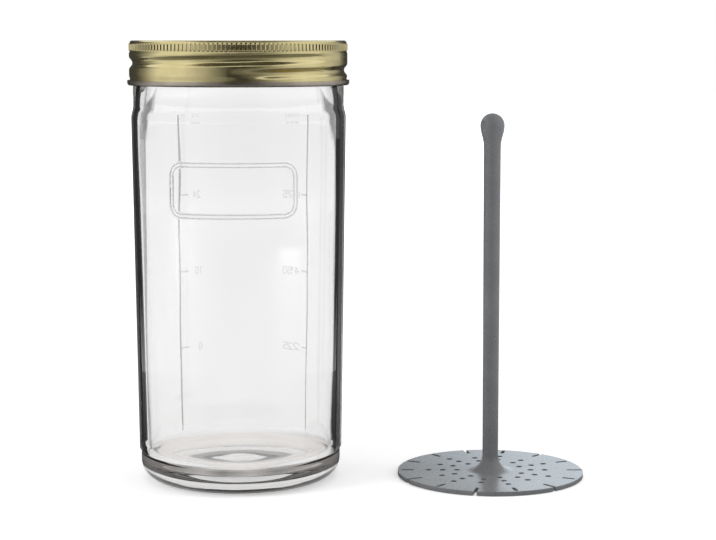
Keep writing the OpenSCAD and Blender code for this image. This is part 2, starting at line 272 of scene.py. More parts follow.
def clearGlassFinish(look):
    material, tree, shader = startMaterial("clearGlass")
    flow = useGroup(tree, grainGroup, Scale=60.0, Stretch=(1, 1, 0.12), Detail=2.0)
    smudge = useGroup(tree, grainGroup, Scale=45.0, Stretch=(1, 1, 0.6), Detail=4.0, Low=-0.02, High=0.02)
    tint = mixColour(tree, flow["Value"], look["tint"], look["tintDeep"])
    # painted shade: the raised lines are painted greyer, standing in for the dark that their sloped sides
    # refract
    tint = mixColour(tree, pointValue(tree, "moulded"), tint, look["line"])  # the raised lines are greyer
    # painted shade: dark streaks painted into the glass colour where the inside of the wall is seen at a low
    # angle, wider at the shoulder and the heel; they stand in for the dark surroundings that the glass
    # refracts there
    facing = addNode(tree, "ShaderNodeLayerWeight", {"Blend": 0.5}).outputs["Facing"]
    height = addNode(tree, "ShaderNodeSeparateXYZ", {0: objectPlace(tree)}).outputs["Z"]
    ragged = useGroup(tree, grainGroup, Scale=150.0, Stretch=(1, 1, 0.1), Detail=3.0)["Height"]
    latest = look["streakStart"] + look["streakRagged"] / 2
    start = maths(tree, "MULTIPLY_ADD", ragged, -look["streakRagged"], latest)
    flame = mapRange(tree, height, *look["flameZ"])
    start = maths(tree, "MULTIPLY_ADD", flame, -look["flameWide"], start)
    under = mapRange(tree, height, *look["heelZ"], 1.0, 0.0)
    start = maths(tree, "MULTIPLY_ADD", under, -look["heelWide"], start)
    paintedShade = maths(tree, "DIVIDE", maths(tree, "SUBTRACT", facing, start), look["streakSoft"], clamp=True)
    paintedShade = maths(tree, "MULTIPLY", paintedShade, pointValue(tree, "paintedShadeZone"))
    tint = mixColour(tree, paintedShade, tint, look["paintedShade"])
    # light that was thrown about in the glass many times is let out dimmed, so thick corners don't turn black
    bounces = addNode(tree, "ShaderNodeLightPath").outputs["Glossy Depth"]
    trapped = maths(tree, "GREATER_THAN", bounces, look["trappedAfter"])
    tint = mixColour(tree, trapped, tint, look["trapped"])
    ior = maths(tree, "MULTIPLY_ADD", trapped, look["trappedIor"] - look["ior"], look["ior"])
    tree.links.new(tint, shader.inputs["Base Color"])
    tree.links.new(ior, shader.inputs["IOR"])
    tree.links.new(maths(tree, "MAXIMUM", smudge["Value"], 0.0), shader.inputs["Roughness"])
    shader.inputs["Transmission Weight"].default_value = 1.0
    shader.inputs["Metallic"].default_value = 0.0
    bump(tree, shader, flow["Height"], look["bump"], look["bumpDeep"])
    depth = addNode(tree, "ShaderNodeVolumeAbsorption", {"Color": look["body"], "Density": look["density"]})
    tree.links.new(depth.outputs[0], tree.nodes["Material Output"].inputs["Volume"])
    return material


tinplate = {"specks": 0.35, "wearRough": 0.12, "coatRough": 0.12, "bump": 0.25, "bumpDeep": 0.00006}


def tinplateFinish(name, look):
    material, tree, shader = startMaterial(name)
    mottle = useGroup(tree, grainGroup, Scale=120.0, Detail=4.0)
    rolled = useGroup(tree, grainGroup, Scale=260.0, Stretch=(0.25, 0.25, 6.0), Detail=3.0,
                      Low=look["smooth"], High=look["rough"])
    wear = useGroup(tree, wearGroup, Width=0.00035, Amount=look["wear"])
    specks = useGroup(tree, specksGroup, Scale=520.0, Size=0.1)
    colour = mixColour(tree, mottle["Value"], look["colour"], look["colourDeep"])
    colour = mixColour(tree, wear["Mask"], colour, look["bare"])
    dusty = maths(tree, "MULTIPLY", specks["Mask"], tinplate["specks"])
    colour = mixColour(tree, dusty, colour, look["dust"])
    tree.links.new(colour, shader.inputs["Base Color"])
    rough = maths(tree, "MULTIPLY_ADD", wear["Mask"], tinplate["wearRough"], rolled["Value"])
    tree.links.new(rough, shader.inputs["Roughness"])
    shader.inputs["Metallic"].default_value = 1.0
    shader.inputs["Coat Weight"].default_value = look["coat"]
    shader.inputs["Coat Roughness"].default_value = tinplate["coatRough"]
    bump(tree, shader, rolled["Height"], tinplate["bump"], tinplate["bumpDeep"])
    return material


moulding = {"specks": 0.3, "sheenRough": 0.45, "bumpDeep": 0.00008}


def mouldedFinish(name, look):  # silicone, compound and nylon
    material, tree, shader = startMaterial(name)
    mottle = useGroup(tree, grainGroup, Scale=90.0, Detail=4.0)
    skin = useGroup(tree, grainGroup, Scale=look["grain"], Detail=5.0, Low=look["smooth"], High=look["rough"])
    wear = useGroup(tree, wearGroup, Width=0.0005, Amount=look["wear"], Breakup=600.0)
    specks = useGroup(tree, specksGroup, Scale=420.0, Size=0.09)
    colour = mixColour(tree, mottle["Value"], look["colour"], look["colourDeep"])
    colour = mixColour(tree, wear["Mask"], colour, look["edge"])
    dusty = maths(tree, "MULTIPLY", specks["Mask"], moulding["specks"])
    colour = mixColour(tree, dusty, colour, look["dust"])
    tree.links.new(colour, shader.inputs["Base Color"])
    tree.links.new(skin["Value"], shader.inputs["Roughness"])
    shader.inputs["Sheen Weight"].default_value = look["sheen"]
    shader.inputs["Sheen Roughness"].default_value = moulding["sheenRough"]
    shader.inputs["Specular Tint"].default_value = look["gloss"]
    bump(tree, shader, skin["Height"], look["bump"], moulding["bumpDeep"])
    return material


clearGlass = clearGlassFinish({
    # the line colour is painted shade, the grey of the raised lines
    "tint": (0.985, 0.985, 0.985, 1), "tintDeep": (0.965, 0.967, 0.967, 1), "line": (0.16, 0.16, 0.16, 1),
    "body": (0.70, 0.69, 0.685, 1), "density": 13.0, "ior": 1.52, "bump": 0.35, "bumpDeep": 0.0004,
    # the streak colour is painted shade, the dark glass colour where the inside of the wall is seen at a low
    # angle
    "paintedShade": (0.02, 0.02, 0.02, 1), "streakStart": 0.75, "streakSoft": 0.08, "streakRagged": 0.16,
    "flameWide": 0.25, "flameZ": (0.150, 0.172), "heelWide": 0.3, "heelZ": (0.004, 0.007),
    "trapped": (0.085, 0.08, 0.076, 1), "trappedIor": 1.01, "trappedAfter": 2.5})
goldTinplate = tinplateFinish("goldTinplate", {
    "colour": (0.77, 0.67, 0.36, 1), "colourDeep": (0.69, 0.60, 0.30, 1), "bare": (0.82, 0.79, 0.70, 1),
    "dust": (0.5, 0.48, 0.42, 1), "smooth": 0.15, "rough": 0.25, "wear": 0.5, "coat": 0.2})
plainTinplate = tinplateFinish("plainTinplate", {
    "colour": (0.52, 0.465, 0.40, 1), "colourDeep": (0.41, 0.365, 0.31, 1), "bare": (0.62, 0.59, 0.54, 1),
    "dust": (0.4, 0.38, 0.35, 1), "smooth": 0.24, "rough": 0.38, "wear": 0.4, "coat": 0.0})
sealingCompound = mouldedFinish("sealingCompound", {
    "colour": (0.60, 0.57, 0.50, 1), "colourDeep": (0.53, 0.50, 0.43, 1), "edge": (0.66, 0.63, 0.56, 1),
    "dust": (0.4, 0.38, 0.34, 1), "grain": 900.0, "smooth": 0.42, "rough": 0.58, "wear": 0.3, "sheen": 0.05,
    "bump": 0.3, "gloss": (1, 1, 1, 1)})
greySilicone = mouldedFinish("greySilicone", {
    "colour": (0.168, 0.171, 0.174, 1), "colourDeep": (0.148, 0.151, 0.155, 1),
    "edge": (0.22, 0.225, 0.235, 1), "dust": (0.42, 0.42, 0.42, 1), "grain": 2400.0, "smooth": 0.25,
    "rough": 0.31, "wear": 0.4, "sheen": 0.08, "bump": 0.05, "gloss": (0.86, 0.93, 1.0, 1)})
coreNylon = mouldedFinish("coreNylon", {
    "colour": (0.70, 0.69, 0.65, 1), "colourDeep": (0.62, 0.61, 0.57, 1), "edge": (0.78, 0.77, 0.74, 1),
    "dust": (0.45, 0.44, 0.42, 1), "grain": 1100.0, "smooth": 0.34, "rough": 0.46, "wear": 0.3, "sheen": 0.0,
    "bump": 0.2, "gloss": (1, 1, 1, 1)})
print("stage: finishes")


glass = {
    "wall": 4.3, "finishWall": 3.6, "neckDepth": 30.0, "shoulder": 6.0, "neckStep": 0.7, "shoulderStep": 1.0,
    "draft": 2.2, "heel": 13.6, "heelStep": 0.8, "heelRound": 9.0, "footRing": 3.0, "punt": 3.0, "floor": 6.0,
    "floorRound": 7.0, "rimRound": 1.2, "floorDish": 1.0,
    "puntFlat": 0.25,  # how far the punt's flat middle reaches, as a share of the foot's inside
    "heelLine": (0.06, 0.3),  # a fine step round the top of the heel: how far out, and how tall
    "ripple": 0.03, "rippleTall": 60.0, "rippleEase": 12.0,  # how much the inside of the wall wanders
    "waves": ((5, 1.4, 0.0, 1.0), (13, -1.9, 1.1, 0.8), (23, 1.0, 0.0, 0.6)),  # round, up, start and share
    # the painted shade of the dark streaks under the heel: how strong it is, and how high it reaches
    "heelShade": 0.85, "heelShadeZ": 6.0,  # how far the dark streaks reach under the heel
}
markings = {
    "lineAngle": 43.0, "lineFoot": 14.8, "firstTick": 54.0, "tickStep": 36.8, "tick": 4.5, "line": 0.24,
    "lineRise": 0.4, "tickLine": 0.16, "tickRise": 0.25, "slope": 0.3, "digit": 3.2, "digitStep": 5.4,
    "stroke": 0.1, "digitRise": 0.2, "wordGap": 6.2, "wander": 0.15, "wanderTall": 7.0, "middleZ": 110.0,
    "leftScale": ["8", "16", "24", "32"], "rightScale": ["225", "450", "675", "900"],
    "frameZ": 136.0, "frameWide": 29.5, "frameTall": 12.0, "frameCorner": 6.0, "frameGap": 1.6,
    "frameLine": 0.1, "frameRise": 0.35,
}
jarMesh = {  # steps in degrees and millimetres, finer where the wall has markings
    "turn": 1.5, "rise": 4.0, "finishRise": 0.5, "markTurn": 0.42, "markRise": 0.32,
    "line": (1.1, 0.26),  # half the stretch round a scale line, and its step
    "words": (5.8, 19.0),  # how far from their line the figures start and end
    "tick": 2.3,  # half the stretch round a tick
    "panelTurn": (31.4, 4.9), "panelRise": (8.7, 4.2),  # middle and half of the panel's finer stretches
    "curve": 12, "innerRows": 26,  # steps of a curve, and rows down the inside of the wall
}
bodyR = (jarHigh[0] - jarLow[0]) / 2
neckR = bodyR - glass["shoulderStep"]
finishR = neckR - glass["neckStep"]
mouthR = finishR - glass["finishWall"]
shoulderZ = rimZ - glass["neckDepth"]
bodyTopZ = shoulderZ - glass["shoulder"] / 2
neckZ = shoulderZ + glass["shoulder"] / 2
bodyFootZ = glass["heel"] + glass["heelStep"]
bodyFootR = bodyR - glass["draft"]
heelR = bodyFootR - glass["heelStep"]
footOutR = heelR - glass["heelRound"]
footInR = footOutR - glass["footRing"]
floorEdgeZ = glass["punt"] + glass["floor"] - glass["floorDish"]
cornerZ = floorEdgeZ + glass["floorRound"]

figureTall = 6
# strokes of the plain figures, on a grid four wide and six tall
figures = {
    "0": [[(1, 0), (3, 0), (4, 1), (4, 5), (3, 6), (1, 6), (0, 5), (0, 1), (1, 0)]],
    "1": [[(1, 5), (2, 6), (2, 0)]],
    "2": [[(0, 5), (1, 6), (3, 6), (4, 5), (4, 4), (0, 0), (4, 0)]],
    "3": [[(0, 6), (4, 6), (2, 3.6), (4, 2.4), (4, 1), (3, 0), (1, 0), (0, 1)]],
    "4": [[(3, 0), (3, 6), (0, 2), (4, 2)]],
    "5": [[(4, 6), (0, 6), (0, 3.6), (3, 3.6), (4, 2.6), (4, 1), (3, 0), (1, 0), (0, 1)]],
    "6": [[(4, 5), (3, 6), (1, 6), (0, 5), (0, 1), (1, 0), (3, 0), (4, 1), (4, 2.5), (3, 3.5), (0, 3.5)]],
    "7": [[(0, 6), (4, 6), (1.5, 0)]],
    "8": [[(1, 3), (0, 4), (0, 5), (1, 6), (3, 6), (4, 5), (4, 4), (3, 3), (1, 3), (0, 2), (0, 1), (1, 0),
           (3, 0), (4, 1), (4, 2), (3, 3)]],
    "9": [[(0, 1), (1, 0), (3, 0), (4, 1), (4, 5), (3, 6), (1, 6), (0, 5), (0, 3.6), (1, 2.6), (4, 2.6)]],
}


def wallRadius(z):
    return bodyFootR + glass["draft"] * (z - bodyFootZ) / (bodyTopZ - bodyFootZ)


def tickHeight(i):
    return markings["firstTick"] + i * markings["tickStep"]


def figureStrokes(word, x, z, size):  # a row of figures, centred on x
    step = size * markings["digitStep"] / figureTall
    left = x - (len(word) - 1) * step / 2 - size / 3
    return [[(left + i * step + px * size / figureTall, z + (pz - 3) * size / figureTall) for px, pz in line]
            for i, letter in enumerate(word) for line in figures[letter]]


def raisedLines(across, z, lines, half, rise):  # height of rounded lines drawn on the wall
    height = np.zeros_like(across)
    for line in lines:
        for (x0, z0), (x1, z1) in zip(line, line[1:]):
            dx, dz = x1 - x0, z1 - z0
            share = np.clip(((across - x0) * dx + (z - z0) * dz) / max(dx * dx + dz * dz, 1e-9), 0, 1)
            gap = np.hypot(across - x0 - share * dx, z - z0 - share * dz)
            level = np.clip((half + markings["slope"] - gap) / markings["slope"], 0, 1)
            height = np.maximum(height, rise * level)
    return height


def backMarkings(angle, z):  # scale lines, ticks and figures on the back wall
    across = np.radians(angle - 90) * wallRadius(z)
    lineTurn = math.radians(markings["lineAngle"])
    place = lineTurn * wallRadius(markings["middleZ"])
    height = np.zeros_like(across)
    for side, words in ((-1, markings["rightScale"]), (1, markings["leftScale"])):
        bent = across - side * lineTurn * wallRadius(z) + side * place
        bent = bent + markings["wander"] * np.sin(z / markings["wanderTall"] + side)
        upright = [[(side * place, markings["lineFoot"]), (side * place, tickHeight(len(words) - 1))]]
        drawn = [(upright, markings["line"], markings["lineRise"])]
        for i, word in enumerate(words):
            tickZ, tickEnd = tickHeight(i), place - markings["tick"]
            tick = [[(side * place, tickZ), (side * tickEnd, tickZ)]]
            strokes = figureStrokes(word, side * (tickEnd - markings["wordGap"]), tickZ, markings["digit"])
            drawn += [(tick, markings["tickLine"], markings["tickRise"]),
                      (strokes, markings["stroke"], markings["digitRise"])]
        for lines, half, rise in drawn:
            height = np.maximum(height, raisedLines(bent, z, lines, half, rise))
    return height


def frontFrame(angle, z):  # a plain rounded panel with a double line, for a label
    across = np.radians(angle + 90) * wallRadius(z)
    lines = []
    for inset in (0, markings["frameGap"]):
        wide, tall = markings["frameWide"] - inset, markings["frameTall"] - inset
        corner, line = markings["frameCorner"] - inset, []
        for k, (sideX, sideZ) in enumerate(((1, 1), (-1, 1), (-1, -1), (1, -1))):
            x, up = sideX * (wide - corner), markings["frameZ"] + sideZ * (tall - corner)
            line += arcPoints(x, up, corner, corner, 90 * k, 90 * k + 90, 6)
        lines.append(line + line[:1])
    return raisedLines(across, z, lines, markings["frameLine"], markings["frameRise"])


def threadRise(angle, z):  # the glass thread on the finish
    sweep = thread["turns"] * 360
    best = np.zeros_like(z)
    for lap in (-2, -1, 0):
        a = angle + 360 * lap
        run = np.minimum(thread["start"] - a, a - (thread["start"] - sweep))
        fade = np.sin(np.pi / 2 * np.clip(run / thread["fade"], 0, 1))
        fade = thread["runOut"] + (1 - thread["runOut"]) * fade
        gap = np.abs(z - (rimZ - thread["drop"] + thread["pitch"] * a / 360))
        slope = np.clip((thread["root"] - gap) / (thread["root"] - thread["crest"]), 0, 1)
        best = np.maximum(best, np.where(run >= 0, slope * fade, 0))
    return best * thread["depth"]


def fineSpan(middle, half, step):
    return middle - half, middle + half, step


def jarAngles():
    line, (panelTurn, panelHalf), fine = markings["lineAngle"], jarMesh["panelTurn"], jarMesh["markTurn"]
    spans = []
    for s in (-1, 1):
        words = sorted(90 + s * (line - edge) for edge in jarMesh["words"])
        spans += [fineSpan(90 + s * line, *jarMesh["line"]), (*words, fine),
                  fineSpan(-90 + s * panelTurn, panelHalf, fine)]
    return stops(-180.0, 180.0, jarMesh["turn"], spans)[:-1]


def wallHeights():
    rise, (panelRise, panelHalf) = jarMesh["markRise"], jarMesh["panelRise"]
    spans = [fineSpan(tickHeight(i), jarMesh["tick"], rise) for i in range(len(markings["leftScale"]))]
    spans += [fineSpan(markings["frameZ"] + s * panelRise, panelHalf, rise) for s in (-1, 1)]
    return stops(bodyFootZ, bodyTopZ, jarMesh["rise"], spans)


def jarOutline():  # the outside from the middle of the foot to the finish, the rim, and the inside down again
    punt, heelRound, floorRound = glass["punt"], glass["heelRound"], glass["floorRound"]
    rimRound, curve, flatR = glass["rimRound"], jarMesh["curve"], footInR * glass["puntFlat"]
    lineStep, lineDrop = glass["heelLine"]
    finishZ = stops(bandFootZ + glass["neckStep"], rimZ - rimRound, jarMesh["finishRise"], [])
    outside = dropDoubles(
        [(0, punt)]
        + softAcross((flatR, punt), (footInR, 0))
        + arcPoints(footOutR, heelRound, heelRound, heelRound, -90, 0, curve)
        + [(heelR, glass["heel"] - lineDrop), (heelR + lineStep, glass["heel"])]
        + [(wallRadius(z), z) for z in wallHeights()]
        + softAlong((bodyR, bodyTopZ), (neckR, neckZ), curve)
        + [(neckR, bandFootZ - glass["neckStep"])]
        + [(finishR, z) for z in finishZ])
    rim = dropDoubles(
        arcPoints(finishR - rimRound, rimZ - rimRound, rimRound, rimRound, 0, 90)
        + arcPoints(mouthR + rimRound, rimZ - rimRound, rimRound, rimRound, 90, 180))
    cornerR = wallRadius(cornerZ) - glass["wall"]
    inside = dropDoubles(
        softAlong((mouthR, neckZ), (bodyR - glass["wall"], bodyTopZ), curve)
        + [(wallRadius(z) - glass["wall"], z) for z in np.linspace(bodyTopZ, cornerZ, jarMesh["innerRows"])]
        + arcPoints(cornerR - floorRound, cornerZ, floorRound, floorRound, 0, -90, curve)
        + softAcross((footInR, floorEdgeZ), (flatR, glass["floor"] + punt))
        + [(0, glass["floor"] + punt)])
    return outside, rim, inside


def keepPointValue(mesh, name, grid):  # for the glass finish; the mesh's two poles come last
    values = np.append(grid[1:-1].ravel(), [0.0, 0.0])
    mesh.attributes.new(name, "FLOAT", "POINT").data.foreach_set("value", values)


def makeJar():
    angles = jarAngles()
    outside, rim, inside = jarOutline()
    rows = dropDoubles(outside + rim + inside)
    rowR, rowZ = np.array(rows).T
    outer = np.arange(len(rows)) < len(outside)
    inner = np.arange(len(rows)) >= len(outside) + len(rim)
    angle = np.repeat(angles[None], len(rows), 0)
    z = np.repeat(rowZ[:, None], len(angles), 1)
    onWall = outer & (rowZ >= bodyFootZ) & (rowZ <= bodyTopZ)
    raised = np.zeros_like(z)
    raised[onWall] = np.maximum(backMarkings(angle[onWall], z[onWall]), frontFrame(angle[onWall], z[onWall]))
    push = raised.copy()
    onFinish = outer & (rowZ > bandFootZ + glass["neckStep"])
    push[onFinish] += threadRise(angle[onFinish], z[onFinish])
    # the inside of the wall wanders a little, as pressed glass does
    wanders = ~outer & (rowZ < bodyTopZ) & (rowR > footInR)
    turn, up = np.radians(angle[wanders]), z[wanders] / glass["rippleTall"]
    waves = sum(share * np.sin(around * turn + rise * up + start)
                for around, rise, start, share in glass["waves"])
    ease = np.clip((bodyTopZ - z[wanders]) / glass["rippleEase"], 0, 1)
    push[wanders] += glass["ripple"] * waves * ease
    mesh = turnedMesh("glassJar", rows, angles, jarAxis, push)
    # where the painted shade of the dark streaks goes: the inside of the wall, and more faintly under the
    # heel
    underHeel = outer & (rowZ < glass["heelShadeZ"]) & (rowR > footInR)
    shade = np.where(inner & (rowZ > cornerZ), 1.0, np.where(underHeel, glass["heelShade"], 0))
    keepPointValue(mesh, "moulded", np.clip(raised / markings["lineRise"], 0, 1))
    keepPointValue(mesh, "paintedShadeZone", np.repeat(shade[:, None], len(angles), 1))
    piece = newPiece("glassJar", mesh, clearGlass)
    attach(piece, "jar")
    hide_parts("jar_body")
    print("stage: glass jar", len(piece.data.polygons), "faces")


makeJar()


band = {
    "sheet": 0.5, "corner": 1.2, "flange": 6.5, "ribs": 156, "ribTall": 3.6, "ribDeep": 0.45, "swell": 0.35,
    "ribCorners": (0.05, 0.3, 0.5, 0.85),  # along one rib's step: two at its root, then two at its crest
    "ribEnd": 0.5, "ribRows": (0.35, 0.6),  # how far a rib's end slopes, and where its rows of points are
    "grooveDeep": 1.5, "grooveFloor": 0.2, "grooveFlank": 2.8, "grooveStart": -20.0, "grooveTurns": 1.2,
    "grooveRows": 27, "seat": 3.2, "curlTall": 3.1, "curlWide": 1.75, "curlTurn": (180, 390),
    "crestGap": 0.35,
    "sharp": 38,  # the least angle, in degrees, at which an edge stays sharp
}
bandInR = finishR + thread["depth"] + band["crestGap"]
bandMidR = bandInR + band["sheet"] / 2
bandOutR = bandInR + band["sheet"]
ribTopZ = lidTopZ - band["corner"]
ribFootZ = ribTopZ - band["ribTall"]


def bandPath():
    half = band["sheet"] / 2
    corner = band["corner"] - half
    skirtR = bandOutR + band["swell"] - half
    curlZ = bandFootZ + band["curlTall"] / 2
    curlAcross, curlUp = (band["curlWide"] - band["sheet"]) / 2, (band["curlTall"] - band["sheet"]) / 2
    lowerZ = curlZ + band["curlTall"]
    upperZ = ribFootZ - band["ribTall"] / 3
    near, far = band["ribRows"]
    return dropDoubles(
        [(bandOutR - band["flange"], lidTopZ - half), (bandOutR - band["flange"] / 2, lidTopZ - half)]
        + arcPoints(bandMidR - corner, lidTopZ - band["corner"], corner, corner, 90, 0, 6)
        + [(bandMidR, z) for z in (ribTopZ - near, ribTopZ - far, ribFootZ + far, ribFootZ + near)]
        + softAlong((bandMidR, ribFootZ), (skirtR, upperZ), 4)
        + [(skirtR, z) for z in np.linspace(upperZ, lowerZ, band["grooveRows"])]
        + softAlong((skirtR, lowerZ), (bandMidR, curlZ + band["curlTall"] / 3), 5)
        + arcPoints(bandMidR + curlAcross, curlZ, curlAcross, curlUp, *band["curlTurn"], 14))


def sheetOutline(path, thick):  # both faces of a bent sheet, as one closed outline
    path = np.array(path)
    along = np.gradient(path, axis=0)
    along /= np.linalg.norm(along, axis=1)[:, None]
    side = np.stack([-along[:, 1], along[:, 0]], -1) * thick / 2
    return np.concatenate([path + side, (path - side)[::-1]]), len(path)


def helixDistance(tree, angle, height, given):  # height above the nearest lap of the groove, and that lap
    rise = maths(tree, "DIVIDE", maths(tree, "SUBTRACT", height, given["Groove height"]), given["Pitch"])
    loose = maths(tree, "SUBTRACT", rise, maths(tree, "DIVIDE", angle, 360.0))
    lap = maths(tree, "ROUND", loose)
    return maths(tree, "MULTIPLY", maths(tree, "SUBTRACT", loose, lap), given["Pitch"]), lap


def ribTree():
    sizes = ("Axis", "Outside", "Rib depth", "Rib foot", "Rib top", "Rib end", "Rib middle", "Groove depth",
             "Groove floor", "Groove flank", "Groove height", "Groove start", "Groove sweep", "Groove fade",
             "Pitch")
    tree, given, out = startGroup("gripRibsAndGroove", "GeometryNodeTree", [
        ("Geometry", "Geometry", None), ("Ribs", "Int", 0), *((size, "Float", 0.0) for size in sizes),
        ("Gold", "Material", None), ("Bare", "Material", None)], [("Geometry", "Geometry")])
    position = addNode(tree, "GeometryNodeInputPosition").outputs[0]
    place = addNode(tree, "ShaderNodeSeparateXYZ", {0: position}).outputs
    x = maths(tree, "SUBTRACT", place["X"], given["Axis"])
    y, z = place["Y"], place["Z"]
    radius = maths(tree, "SQRT", maths(tree, "MULTIPLY_ADD", x, x, maths(tree, "MULTIPLY", y, y)))
    angle = maths(tree, "DEGREES", maths(tree, "ARCTAN2", y, x))
    # grip ribs, on the outer face between their foot and top
    step = maths(tree, "FRACT", maths(tree, "DIVIDE", maths(tree, "MULTIPLY", angle, given["Ribs"]), 360.0))
    crest = maths(tree, "GREATER_THAN", step, given["Rib middle"])
    above = maths(tree, "SUBTRACT", z, given["Rib foot"])
    above = maths(tree, "DIVIDE", above, given["Rib end"], clamp=True)
    below = maths(tree, "SUBTRACT", given["Rib top"], z)
    below = maths(tree, "DIVIDE", below, given["Rib end"], clamp=True)
    outer = maths(tree, "GREATER_THAN", radius, given["Outside"])
    rib = maths(tree, "MULTIPLY", crest, maths(tree, "MULTIPLY", above, below))
    rib = maths(tree, "MULTIPLY", maths(tree, "MULTIPLY", rib, outer), given["Rib depth"])
    # the rolled groove winds down the skirt
    gap, lap = helixDistance(tree, angle, z, given)
    wound = maths(tree, "MULTIPLY_ADD", lap, 360.0, angle)
    fromStart = maths(tree, "SUBTRACT", given["Groove start"], wound)
    run = maths(tree, "MINIMUM", fromStart, maths(tree, "SUBTRACT", given["Groove sweep"], fromStart))
    fade = maths(tree, "DIVIDE", run, given["Groove fade"], clamp=True)
    fade = maths(tree, "SINE", maths(tree, "MULTIPLY", fade, math.pi / 2))
    reach = maths(tree, "ADD", given["Groove floor"], given["Groove flank"])
    slope = maths(tree, "SUBTRACT", reach, maths(tree, "ABSOLUTE", gap))
    slope = maths(tree, "DIVIDE", slope, given["Groove flank"], clamp=True)
    ease = maths(tree, "COSINE", maths(tree, "MULTIPLY", slope, math.pi))
    ease = maths(tree, "MULTIPLY_ADD", ease, -0.5, 0.5)
    groove = maths(tree, "MULTIPLY", maths(tree, "MULTIPLY", ease, fade), given["Groove depth"])
    push = maths(tree, "DIVIDE", maths(tree, "SUBTRACT", rib, groove), radius)
    offset = addNode(tree, "ShaderNodeCombineXYZ", {
        0: maths(tree, "MULTIPLY", x, push), 1: maths(tree, "MULTIPLY", y, push)}).outputs[0]
    shaped = addNode(tree, "GeometryNodeSetPosition", {"Geometry": given["Geometry"], "Offset": offset})
    real = addNode(tree, "GeometryNodeRealizeInstances", {"Geometry": shaped.outputs[0]})
    gold = addNode(tree, "GeometryNodeSetMaterial", {"Geometry": real.outputs[0], "Material": given["Gold"]})
    inward = addNode(tree, "GeometryNodeInputNamedAttribute", {"Name": "insideFace"}, data_type="BOOLEAN")
    bare = addNode(tree, "GeometryNodeSetMaterial", {
        "Geometry": gold.outputs[0], "Selection": inward.outputs[0], "Material": given["Bare"]})
    tree.links.new(bare.outputs[0], out["Geometry"])
    return tree


def runTree(piece, tree, values):  # sets the named inputs, then turns the result into a plain mesh
    sockets = {s.name: s.identifier for s in tree.interface.items_tree if s.in_out == "INPUT"}
    modifier = piece.modifiers.new(tree.name, "NODES")
    modifier.node_group = tree
    for name, value in values.items():
        modifier[sockets[name]] = value
    bpy.context.view_layer.update()
    graph = bpy.context.evaluated_depsgraph_get()
    result = bpy.data.meshes.new_from_object(piece.evaluated_get(graph), depsgraph=graph)
    piece.modifiers.clear()
    piece.data = result


def makeBand():
    outline, turnBack = sheetOutline(bandPath(), band["sheet"])
    inner = np.arange(len(outline)) >= turnBack
    r, z = outline.T
    if np.sum(r * np.roll(z, -1) - np.roll(r, -1) * z) < 0:
        outline, inner = outline[::-1], inner[::-1]
    corners = band["ribCorners"]
    angles = (np.arange(band["ribs"])[:, None] + np.array(corners)).ravel() * 360 / band["ribs"]
    mesh = turnedMesh("screwBand", outline, angles, jarAxis, loop=True)
    rowInner = inner & np.roll(inner, -1)
    isInner = mesh.attributes.new("insideFace", "BOOLEAN", "FACE").data
    isInner.foreach_set("value", np.repeat(rowInner, len(angles)))
    piece = newPiece("screwBand", mesh)
    grooveZ = rimZ - thread["drop"] - band["seat"]
    runTree(piece, ribTree(), {
        "Axis": jarAxis * mm, "Outside": bandMidR * mm, "Ribs": band["ribs"],
        "Rib depth": band["ribDeep"] * mm, "Rib foot": ribFootZ * mm, "Rib top": ribTopZ * mm,
        "Rib end": band["ribEnd"] * mm, "Rib middle": (corners[1] + corners[2]) / 2,
        "Groove depth": band["grooveDeep"] * mm, "Groove floor": band["grooveFloor"] * mm,
        "Groove flank": band["grooveFlank"] * mm, "Groove height": grooveZ * mm,
        "Groove start": band["grooveStart"], "Groove sweep": band["grooveTurns"] * 360,
        "Groove fade": thread["fade"], "Pitch": thread["pitch"] * mm,
        "Gold": goldTinplate, "Bare": plainTinplate})
    piece.data.set_sharp_from_angle(angle=math.radians(band["sharp"]))
    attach(piece, "lid_band")
    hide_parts("screw_band")
    print("stage: screw band", len(piece.data.polygons), "faces")


makeBand()


lidDisc = {
    "sheet": 0.5, "rim": 5.0, "dish": 1.8, "ringR": 26.0, "ringTall": 0.3,
    "ringEdges": (1.2, 1.8, 3.0),  # where the raised ring's top starts and ends, and its foot ends
    "dishEdges": (0.82, 0.9, 0.93),  # the same for the groove round the panel, as shares of its radius
    "columns": 192, "sharp": 40,
}


def makeDisc():
    discR = (discHigh[0] - discLow[0]) / 2
    mid = discHigh[2] - lidDisc["sheet"] / 2
    rimR, grooveZ = discR - lidDisc["rim"], mid - lidDisc["dish"]
    panelZ = mid - lidDisc["dish"] / 3
    ring, ringZ = lidDisc["ringR"], panelZ + lidDisc["ringTall"]
    topStart, topEnd, ringEnd = lidDisc["ringEdges"]
    fall, low, rise = lidDisc["dishEdges"]
    path = dropDoubles(
        [(0, panelZ), (ring * 0.5, panelZ)]
        + softAcross((ring, panelZ), (ring + topStart, ringZ), 5)
        + softAcross((ring + topEnd, ringZ), (ring + ringEnd, panelZ), 5)
        + softAcross((rimR * fall, panelZ), (rimR * low, grooveZ), 10)
        + softAcross((rimR * rise, grooveZ), (rimR, mid), 10)
        + [(discR, mid)])
    outline = sheetOutline(path, lidDisc["sheet"])[0]
    outline[:, 0] = np.clip(outline[:, 0], 0, discR)
    outline[0, 0] = outline[-1, 0] = 0
    rows = outline[::-1]  # from the middle of the underside, round the edge, to the middle of the top
    mesh = turnedMesh("sealDisc", rows, evenAngles(lidDisc["columns"]), jarAxis)
    piece = newPiece("sealDisc", mesh, goldTinplate)
    mesh.set_sharp_from_angle(angle=math.radians(lidDisc["sharp"]))
    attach(piece, "lid_disc")
    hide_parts("seal_disc")
    print("stage: seal disc", len(mesh.polygons), "faces")


makeDisc()


